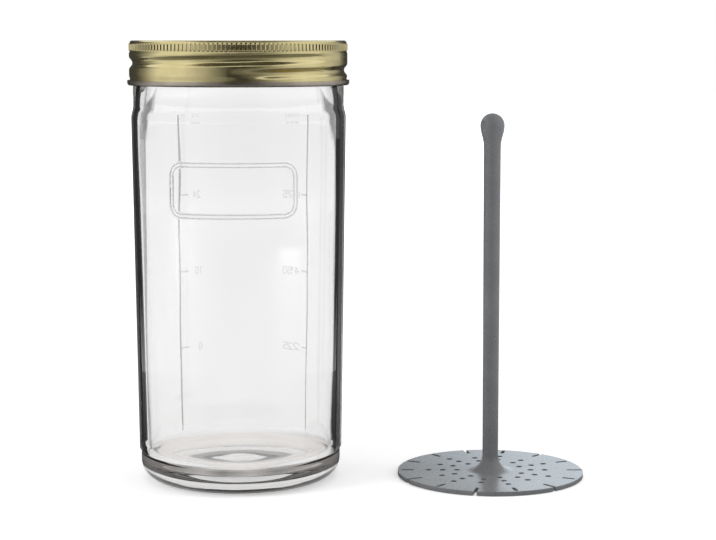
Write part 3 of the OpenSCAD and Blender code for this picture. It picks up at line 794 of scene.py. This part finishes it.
strainer = {
    "plate": 2.0, "edge": 0.25, "edgeFlat": 0.4, "middleFlat": 8, "stemTop": 7.9, "stemFoot": 7.2,
    "stemRows": 9, "knob": 11.1, "taper": 9.5, "flare": 7.5, "flareFlat": 0.5, "columns": 140, "sharp": 32,
    "rows": 7, "rowAngle": -77.4, "hole": 2.7, "firstHole": 15.5, "holeStep": 6.6, "holesInRow": 3,
    "holesBetween": 2, "slot": 1.6, "slotInset": 7.4, "slotRim": 1.4, "slotPast": 2, "softEdge": 0.18,
    "cutterSides": 32, "cutterPast": 1.0, "core": 4.4, "coreFlange": 1.2, "coreSides": 48, "play": 0.05,
}
plateR = (lifterHigh[0] - lifterLow[0]) / 2
lifterTopZ = lifterHigh[2]


def cutterMesh(name, length, width):  # a hole or slot with its edges eased where it meets both faces
    soft, plate, past, per = (strainer[key] for key in ("softEdge", "plate", "cutterPast", "cutterSides"))
    levels = [(-past, soft + past), (0.0, soft), (soft, 0.0)]
    levels += [(plate - soft, 0.0), (plate, soft), (plate + past, soft + past)]
    points, faces = [], []
    for z, grow in levels:
        for k in range(per):
            a = 2 * math.pi * (k + 0.5) / per
            shift = length if math.cos(a) > 0 else 0
            reach = width / 2 + grow
            points.append((shift + reach * math.cos(a), reach * math.sin(a), z))
    for i in range(len(levels) - 1):
        faces += [(i * per + k, i * per + (k + 1) % per, (i + 1) * per + (k + 1) % per, (i + 1) * per + k)
                  for k in range(per)]
    faces += [tuple(reversed(range(per))), tuple(range((len(levels) - 1) * per, len(levels) * per))]
    mesh = bpy.data.meshes.new(name)
    mesh.from_pydata((np.array(points) * mm).tolist(), [], faces)
    mesh.update()
    return bpy.data.objects.new(name, mesh)


def radialSet(tree, given, cutter, perRow, first, halfStep):  # copies of one cutter along every row
    index = addNode(tree, "GeometryNodeInputIndex").outputs[0]
    row = maths(tree, "FLOOR", maths(tree, "DIVIDE", index, float(perRow)))
    along = maths(tree, "MODULO", index, float(perRow))
    step = maths(tree, "DIVIDE", 360.0, given["Rows"])
    turn = maths(tree, "MULTIPLY_ADD", maths(tree, "ADD", row, halfStep), step, given["Row angle"])
    turn = maths(tree, "RADIANS", turn)
    reach = maths(tree, "MULTIPLY_ADD", along, given["Hole step"], first)
    x = maths(tree, "MULTIPLY_ADD", maths(tree, "COSINE", turn), reach, given["Axis"])
    y = maths(tree, "MULTIPLY", maths(tree, "SINE", turn), reach)
    spot = addNode(tree, "ShaderNodeCombineXYZ", {0: x, 1: y}).outputs[0]
    facing = addNode(tree, "ShaderNodeCombineXYZ", {2: turn}).outputs[0]
    count = maths(tree, "MULTIPLY", given["Rows"], float(perRow))
    dots = addNode(tree, "GeometryNodePoints", {"Count": count, "Position": spot}).outputs[0]
    shape = addNode(tree, "GeometryNodeObjectInfo", {"Object": given[cutter]}).outputs["Geometry"]
    return addNode(tree, "GeometryNodeInstanceOnPoints", {
        "Points": dots, "Instance": shape, "Rotation": facing}).outputs[0]


def perforationTree():
    sizes = ("Axis", "Row angle", "First hole", "Hole step", "Slot start")
    shapes = ("Hole", "Closed slot", "Open slot", "Core")
    tree, given, out = startGroup("perforatedDisc", "GeometryNodeTree", [
        ("Geometry", "Geometry", None), ("Rows", "Int", 0), *((size, "Float", 0.0) for size in sizes),
        *((shape, "Object", None) for shape in shapes), ("Finish", "Material", None)],
        [("Geometry", "Geometry")])
    between = maths(tree, "MULTIPLY_ADD", given["Hole step"], 0.5, given["First hole"])
    sets = [radialSet(tree, given, "Hole", strainer["holesInRow"], given["First hole"], 0.0),
            radialSet(tree, given, "Hole", strainer["holesBetween"], between, 0.5),
            radialSet(tree, given, "Closed slot", 1, given["Slot start"], 0.0),
            radialSet(tree, given, "Open slot", 1, given["Slot start"], 0.5),
            addNode(tree, "GeometryNodeObjectInfo", {"Object": given["Core"]}).outputs["Geometry"]]
    joined = addNode(tree, "GeometryNodeJoinGeometry")
    for s in sets:
        tree.links.new(s, joined.inputs[0])
    cutters = addNode(tree, "GeometryNodeRealizeInstances", {"Geometry": joined.outputs[0]}).outputs[0]
    cut = addNode(tree, "GeometryNodeMeshBoolean", {"Mesh 1": given["Geometry"], "Mesh 2": cutters},
                  operation="DIFFERENCE", solver="EXACT")
    real = addNode(tree, "GeometryNodeRealizeInstances", {"Geometry": cut.outputs[0]})
    done = addNode(tree, "GeometryNodeSetMaterial", {
        "Geometry": real.outputs[0], "Material": given["Finish"]}).outputs[0]
    tree.links.new(done, out["Geometry"])
    return tree


def lifterOutline():
    edge, plate, flare, knobR = strainer["edge"], strainer["plate"], strainer["flare"], strainer["knob"] / 2
    footR, topR, rows = strainer["stemFoot"] / 2, strainer["stemTop"] / 2, strainer["stemRows"]
    stemTopZ = lifterTopZ - knobR - strainer["taper"]
    return dropDoubles(
        [(0, 0), (strainer["middleFlat"], 0), (plateR - edge - strainer["edgeFlat"], 0), (plateR - edge, 0)]
        + arcPoints(plateR - edge, edge, edge, edge, -90, 0, 4)
        + arcPoints(plateR - edge, plate - edge, edge, edge, 0, 90, 4)
        + [(plateR - edge - strainer["edgeFlat"], plate), (footR + flare + strainer["flareFlat"], plate)]
        + arcPoints(footR + flare, plate + flare, flare, flare, -90, -180, 14)
        + list(zip(np.linspace(footR, topR, rows), np.linspace(plate + flare, stemTopZ, rows)))
        + softAlong((topR, stemTopZ), (knobR, lifterTopZ - knobR), 12)
        + arcPoints(0, lifterTopZ - knobR, knobR, knobR, 0, 90, 12)[:-1]
        + [(0, lifterTopZ)])


def coreCutter():  # the hollow that the stiff core fills, from the core's own box
    low, high = nodeBox("lifter_core")
    play, flange = strainer["play"], (high[0] - low[0]) / 2 + strainer["play"]
    stemR, step, top = strainer["core"] / 2 + play, low[2] + strainer["coreFlange"] + play, high[2] + play
    rows = [(0, low[2]), (flange, low[2]), (flange, step), (stemR, step), (stemR, top), (0, top)]
    mesh = turnedMesh("coreCutter", rows, evenAngles(strainer["coreSides"]), lifterAxis)
    return bpy.data.objects.new("coreCutter", mesh)


def makeLifter():
    columns = evenAngles(strainer["columns"])
    piece = newPiece("lifterMoulding", turnedMesh("lifterMoulding", lifterOutline(), columns, lifterAxis))
    slotStart = plateR - strainer["slotInset"] + strainer["slot"] / 2
    closed = plateR - strainer["slotRim"] - strainer["slot"] / 2 - slotStart
    opened = plateR + strainer["slotPast"] - slotStart
    cutters = {"Hole": cutterMesh("holeCutter", 0.0, strainer["hole"]),
               "Closed slot": cutterMesh("closedSlotCutter", closed, strainer["slot"]),
               "Open slot": cutterMesh("openSlotCutter", opened, strainer["slot"]),
               "Core": coreCutter()}
    runTree(piece, perforationTree(), {
        "Axis": lifterAxis * mm, "Rows": strainer["rows"], "Row angle": strainer["rowAngle"],
        "First hole": strainer["firstHole"] * mm, "Hole step": strainer["holeStep"] * mm,
        "Slot start": slotStart * mm, "Finish": greySilicone, **cutters})
    for cutter in cutters.values():
        bpy.data.objects.remove(cutter)
    piece.data.shade_smooth()
    piece.data.set_sharp_from_angle(angle=math.radians(strainer["sharp"]))
    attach(piece, "lifter")
    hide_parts("lifter")
    print("stage: lifter", len(piece.data.polygons), "faces")


makeLifter()


for node, finish in (("sealing_ring", sealingCompound), ("lifter_core", coreNylon)):
    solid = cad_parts[node]
    solid.data.materials.clear()
    solid.data.materials.append(finish)


stage = {
    "floor": 6.0, "floorZ": -0.0002, "floorColour": (0.86, 0.86, 0.86, 1), "floorRough": 0.9,
    "floorGlow": (0.33, 1.0),  # near and far, as the camera sees it
    "floorBehind": (0.12, 0.45),  # the same, as reflections and the glass show it
    "glowR": (0.2, 1.4), "worldFill": 0.55,  # glowR is where near and far are
}
lamps = {  # place, size and power, all aimed at one point
    "leftBox": ((-0.95, -0.45, 0.45), (0.5, 0.8), 7.0),
    "rightBox": ((1.0, -0.15, 0.55), (0.5, 0.9), 4.0),
    "topBox": ((0.0, 0.1, 1.2), (1.0, 0.8), 3.0),
}
lampAim = (0.0, 0.0, 0.1)
cards = {  # studio cards, most of them dark: metres, and degrees from the front towards +X
    "edgeGap": 0.05, "edgeWide": 10.0, "heelWide": 1.5, "heelDrop": 0.2, "edgeY": 0.5,  # these in millimetres
    "edgeDark": 0.03,
    "side": (110, 174), "sideFoot": 0.03, "sideDark": 0.05, "sideTear": 0.6,
    "lidR": 0.14, "lidFoot": 0.15, "lidTop": 0.26, "lidRight": (78, 174), "lidLeft": (-75, -174),
    "frontR": 1.2, "frontReach": 115, "frontTop": 1.05,
    "behindR": 0.3, "behindReach": 42, "behind": (0.2, 0.31), "behindDark": 0.08,
    "overheadZ": 1.1, "overheadWide": 0.6, "overheadY": (-0.75, 1.3),
    "tableZ": 0.0001, "tableR": (0.052, 0.3), "tableFar": 1.2, "tableLevels": (0.12, 0.68),
    "footR": (0.028, 0.062), "middleR": 0.0005,
    "skyX": (-0.01, 0.4), "skyY": 0.5, "skyZ": (0.001, 0.35), "sky": 2.2,
}
cardLevels = {  # brightness across a card, as (place, level)
    "lidRight": [(0.0, 0.85), (0.25, 0.62), (0.42, 0.32), (0.55, 0.04), (1.0, 0.03)],
    "lidLeft": [(0.0, 0.88), (0.13, 0.45), (0.27, 0.16), (0.36, 0.06), (1.0, 0.03)],
    "front": [(0.0, 0.8), (0.13, 0.9), (0.25, 0.92), (0.34, 0.6), (0.44, 0.18), (0.48, 0.05), (0.56, 0.05),
              (0.63, 0.2), (0.72, 0.6), (0.83, 0.88), (1.0, 0.8)],
    "overhead": [(0.0, 0.3), (0.08, 0.06), (0.36, 0.05), (0.46, 0.5), (0.58, 0.3), (0.68, 0.6), (0.85, 0.4),
                 (1.0, 0.55)],
    "table": [(0.0, 0.04), (0.3, 0.1), (0.7, 0.22), (1.0, 0.34)],
    "foot": [(0.0, 0.92), (0.28, 0.82), (0.36, 0.3), (0.43, 0.5), (0.47, 0.26), (0.53, 0.5), (0.58, 0.28),
             (0.66, 0.45), (0.74, 0.78), (1.0, 0.92)],
    "middle": [(0.0, 0.92), (0.4, 0.74), (0.5, 0.86), (0.6, 0.72), (1.0, 0.92)],
    "sky": [(0.0, 0.2), (0.1, 0.34), (0.32, 0.92), (1.0, 1.0)],
}
cardTones = {"foot": (1.0, 0.96, 0.93), "middle": (1.0, 0.97, 0.95), "sky": (0.82, 0.92, 1.0)}
cardTear = {"grain": (14.0, 0.6, 1.0), "reach": 3.0}
view = {
    "distance": 0.85, "height": 0.201, "aside": 0.0002, "tilt": 5.82, "lens": 93.4, "sensor": 36.0,
    "shift": -0.056, "clip": (0.01, 20.0),
}
square = [(0, 0), (1, 0), (1, 1), (0, 1)]


def stagePanel(name, points, faces, material, uv=None):
    mesh = bpy.data.meshes.new(name)
    mesh.from_pydata(points, [], faces)
    mesh.update()
    if uv is not None:
        layer = mesh.uv_layers.new(name="cardUV")
        for loop in mesh.loops:
            layer.data[loop.index].uv = uv[loop.vertex_index]
    panel = newPiece(name, mesh, material)
    return panel


def showCardTo(card, glossy, transmission):  # a card shows only in reflections or through glass
    card.visible_camera = card.visible_diffuse = card.visible_shadow = card.visible_volume_scatter = False
    card.visible_glossy, card.visible_transmission = glossy, transmission


def litRays(tree):  # rays that should meet the white background
    path = addNode(tree, "ShaderNodeLightPath").outputs
    return path["Is Camera Ray"], maths(tree, "MAXIMUM", path["Is Glossy Ray"], path["Is Transmission Ray"])


def floorFinish():
    material, tree, shader = startMaterial("paleFloor")
    shader.inputs["Base Color"].default_value = stage["floorColour"]
    shader.inputs["Roughness"].default_value = stage["floorRough"]
    shader.inputs["Specular IOR Level"].default_value = 0.0
    away = addNode(tree, "ShaderNodeVectorMath", {0: objectPlace(tree)}, operation="LENGTH").outputs["Value"]
    strengths = [maths(tree, "MULTIPLY", rays, mapRange(tree, away, *stage["glowR"], *glow))
                 for rays, glow in zip(litRays(tree), (stage["floorGlow"], stage["floorBehind"]))]
    strongest = maths(tree, "MAXIMUM", *strengths)
    glow = addNode(tree, "ShaderNodeEmission", {"Color": (1, 1, 1, 1), "Strength": strongest})
    both = addNode(tree, "ShaderNodeAddShader", {0: shader.outputs[0], 1: glow.outputs[0]})
    tree.links.new(both.outputs[0], tree.nodes["Material Output"].inputs["Surface"])
    return material


def cardFinish(name, levels, tear=0.0, tone=(1, 1, 1), strength=1.0, oneSided=False):
    # levels are brightness from one edge to the other; tear wears the card off towards its first row
    material = bpy.data.materials.new(name)
    material.use_nodes = True
    tree = material.node_tree
    tree.nodes.clear()
    place = addNode(tree, "ShaderNodeUVMap").outputs[0]
    parts = addNode(tree, "ShaderNodeSeparateXYZ", {0: place}).outputs
    ramp = addNode(tree, "ShaderNodeValToRGB", {0: parts["X"]})
    steps = ramp.color_ramp.elements
    while len(steps) < len(levels):
        steps.new(0.5)
    for step, (along, level) in zip(steps, levels):
        step.position, step.color = along, (*(level * part for part in tone), 1)
    colour = ramp.outputs[0]
    if tear:
        torn = addNode(tree, "ShaderNodeMapping", {"Vector": place, "Scale": cardTear["grain"]}).outputs[0]
        torn = addNode(tree, "ShaderNodeTexNoise", {"Vector": torn, "Scale": 1.0, "Detail": 2.0}).outputs[0]
        torn = maths(tree, "MULTIPLY_ADD", torn, tear, -0.5 * tear)
        whole = maths(tree, "MULTIPLY", maths(tree, "ADD", parts["Y"], torn), cardTear["reach"], clamp=True)
        colour = mixColour(tree, maths(tree, "SUBTRACT", 1.0, whole), colour, (1, 1, 1, 1))
    seen = addNode(tree, "ShaderNodeEmission", {"Color": colour, "Strength": strength}).outputs[0]
    if oneSided:  # nothing is seen of it from behind
        behind = addNode(tree, "ShaderNodeNewGeometry").outputs["Backfacing"]
        clear = addNode(tree, "ShaderNodeBsdfTransparent").outputs[0]
        seen = addNode(tree, "ShaderNodeMixShader", {0: behind, 1: seen, 2: clear}).outputs[0]
    addNode(tree, "ShaderNodeOutputMaterial", {"Surface": seen})
    return material


def evenLevel(level):
    return [(0.0, level), (1.0, level)]


def curvedCard(name, radius, heights, bearings, material):
    # an upright card bent round the jar, which shows only in reflections
    steps = 24
    share = np.linspace(0, 1, steps + 1)
    start, end = bearings
    turn = np.radians(start + (end - start) * share)
    points = [(jarAxis * mm + radius * math.sin(a), -radius * math.cos(a), z) for z in heights for a in turn]
    uv = [(s, row) for row in (0, 1) for s in share]
    faces = [(i, i + 1, i + steps + 2, i + steps + 1) for i in range(steps)]
    showCardTo(stagePanel(name, points, faces, material, uv), True, False)


def ringCard(name, radii, z, material, aroundRing, glossy=False, transmission=False):
    # a flat ring round the jar's axis; its levels run once round it from the back,
    # or from its inside to its outside
    steps = 64
    points, faces, uv = [], [], []
    for i in range(steps + 1):
        a = 2 * math.pi * i / steps
        for k, radius in enumerate(radii):
            points.append((jarAxis * mm - radius * math.sin(a), radius * math.cos(a), z))
            uv.append((i / steps, k) if aroundRing else (k, i / steps))
    faces = [(2 * i, 2 * i + 1, 2 * i + 3, 2 * i + 2) for i in range(steps)]
    showCardTo(stagePanel(name, points, faces, material, uv), glossy, transmission)


def edgeCard(name, side, material):  # stands close beside the jar, and gives its glass a dark outline
    gap, y = cards["edgeGap"], cards["edgeY"] * mm
    curve, outer = glass["heelRound"] + gap, bodyR + cards["edgeWide"]
    heel = arcPoints(footOutR, glass["heelRound"], curve, curve, -60, 0, 6)
    heel.append((bodyFootR + gap, bodyFootZ - cards["heelDrop"]))
    wall = ([(bodyFootR + gap, bodyFootZ), (bodyR + gap, bodyTopZ)]
            + softAlong((bodyR + gap, bodyTopZ), (neckR + gap, neckZ), 5) + [(neckR + gap, bandFootZ - 1)])
    rows = [(r, r + cards["heelWide"], z) for r, z in heel] + [(r, outer, z) for r, z in wall]
    points = [((jarAxis + side * x) * mm, y, z * mm) for start, end, z in rows for x in (start, end)[::side]]
    faces = [(2 * i, 2 * i + 1, 2 * i + 3, 2 * i + 2) for i in range(len(rows) - 1)]
    uv = [(float(k % 2), k / len(points)) for k in range(len(points))]
    showCardTo(stagePanel(name, points, faces, material, uv), True, True)


def makeStage():
    span, z = stage["floor"], stage["floorZ"]
    corners = [(-span, -span, z), (span, -span, z), (span, span, z), (-span, span, z)]
    stagePanel("floor", corners, [(0, 1, 2, 3)], floorFinish())
    edge = cardFinish("edgeDark", evenLevel(cards["edgeDark"]), oneSided=True)
    for name, side in (("Left", -1), ("Right", 1)):
        edgeCard("edgeCard" + name, side, edge)
    # beside the lid, and beside the jar below it
    lidHeights, below = (cards["lidFoot"], cards["lidTop"]), (cards["sideFoot"], cards["lidFoot"])
    right, left = (cardFinish("lidDark" + side, cardLevels["lid" + side]) for side in ("Right", "Left"))
    curvedCard("lidCardRight", cards["lidR"], lidHeights, cards["lidRight"], right)
    curvedCard("lidCardLeft", cards["lidR"], lidHeights, cards["lidLeft"], left)
    sideDark = cardFinish("sideDark", evenLevel(cards["sideDark"]), tear=cards["sideTear"])
    for name, sign in (("Left", -1), ("Right", 1)):
        curvedCard("sideCard" + name, cards["lidR"], below, [sign * b for b in cards["side"]], sideDark)
    # in front of the set, behind the camera, and behind the lid
    reach = cards["frontReach"]
    front = cardFinish("frontDark", cardLevels["front"])
    curvedCard("frontCard", cards["frontR"], (0.0, cards["frontTop"]), (-reach, reach), front)
    around = (180 - cards["behindReach"], 180 + cards["behindReach"])
    behind = cardFinish("behindDark", evenLevel(cards["behindDark"]))
    curvedCard("behindCard", cards["behindR"], cards["behind"], around, behind)
    # over the set
    wide, high, (near, far) = cards["overheadWide"], cards["overheadZ"], cards["overheadY"]
    corners = [(-wide, near, high), (-wide, far, high), (wide, far, high), (wide, near, high)]
    overhead = cardFinish("overheadDark", cardLevels["overhead"])
    showCardTo(stagePanel("overheadCard", corners, [(0, 1, 2, 3)], overhead, square), True, False)
    # on the table, near and far, which only reflections show
    z, (near, far) = cards["tableZ"], cards["tableR"]
    ringCard("tableCard", (near, far), z, cardFinish("tableDark", cardLevels["table"]), False, glossy=True)
    darkest, share = cards["tableLevels"]
    farLevels = [((180 - reach + 2 * reach * s) / 360, darkest + share * level)
                 for s, level in cardLevels["front"]]
    farDark = cardFinish("tableFar", farLevels)
    ringCard("tableFarCard", (far, cards["tableFar"]), z, farDark, True, glossy=True)
    # under the jar, which only its glass shows
    under, within = cards["footR"][0], cards["middleR"]
    footDark = cardFinish("footDark", cardLevels["foot"], tone=cardTones["foot"])
    ringCard("footCard", cards["footR"], -z, footDark, True, transmission=True)
    middle = cardFinish("footMiddle", cardLevels["middle"], tone=cardTones["middle"])
    ringCard("middleCard", (within, under), -z, middle, True, transmission=True)
    # a cool light behind the lifter, which its disc shows at a low angle
    (left, right), y, (low, top) = cards["skyX"], cards["skyY"], cards["skyZ"]
    corners = [(left, y, low), (right, y, low), (right, y, top), (left, y, top)]
    sky = cardFinish("skyLight", cardLevels["sky"], tone=cardTones["sky"], strength=cards["sky"])
    showCardTo(stagePanel("skyCard", corners, [(0, 1, 2, 3)], sky, square), True, False)


def areaLamp(name, place, aim, size, power):
    lamp = bpy.data.lights.new(name, "AREA")
    lamp.shape, lamp.size, lamp.size_y, lamp.energy = "RECTANGLE", size[0], size[1], power
    holder = bpy.data.objects.new(name, lamp)
    bpy.context.scene.collection.objects.link(holder)
    holder.location = place
    holder.rotation_euler = (Vector(aim) - Vector(place)).to_track_quat("-Z", "Y").to_euler()
    holder.visible_glossy = holder.visible_transmission = False  # metal shows the cards and the background


def makeLights():
    for name, (place, size, power) in lamps.items():
        areaLamp(name, place, lampAim, size, power)
    world = bpy.data.worlds.new("studio")
    bpy.context.scene.world = world
    world.use_nodes = True
    tree = world.node_tree
    lit = maths(tree, "MAXIMUM", *litRays(tree))
    background = tree.nodes["Background"]
    background.inputs["Color"].default_value = (1, 1, 1, 1)
    tree.links.new(mapRange(tree, lit, 0.0, 1.0, stage["worldFill"]), background.inputs["Strength"])


def makeCamera():
    data = bpy.data.cameras.new("camera")
    data.sensor_width, data.lens, data.shift_y = view["sensor"], view["lens"], view["shift"]
    data.clip_start, data.clip_end = view["clip"]
    camera = bpy.data.objects.new("camera", data)
    bpy.context.scene.collection.objects.link(camera)
    camera.location = (view["aside"], -view["distance"], view["height"])
    camera.rotation_euler = (math.radians(90 - view["tilt"]), 0, 0)
    bpy.context.scene.camera = camera


makeStage()
makeLights()
makeCamera()
bpy.context.scene.view_settings.view_transform = "Standard"
print("stage: lights and camera")
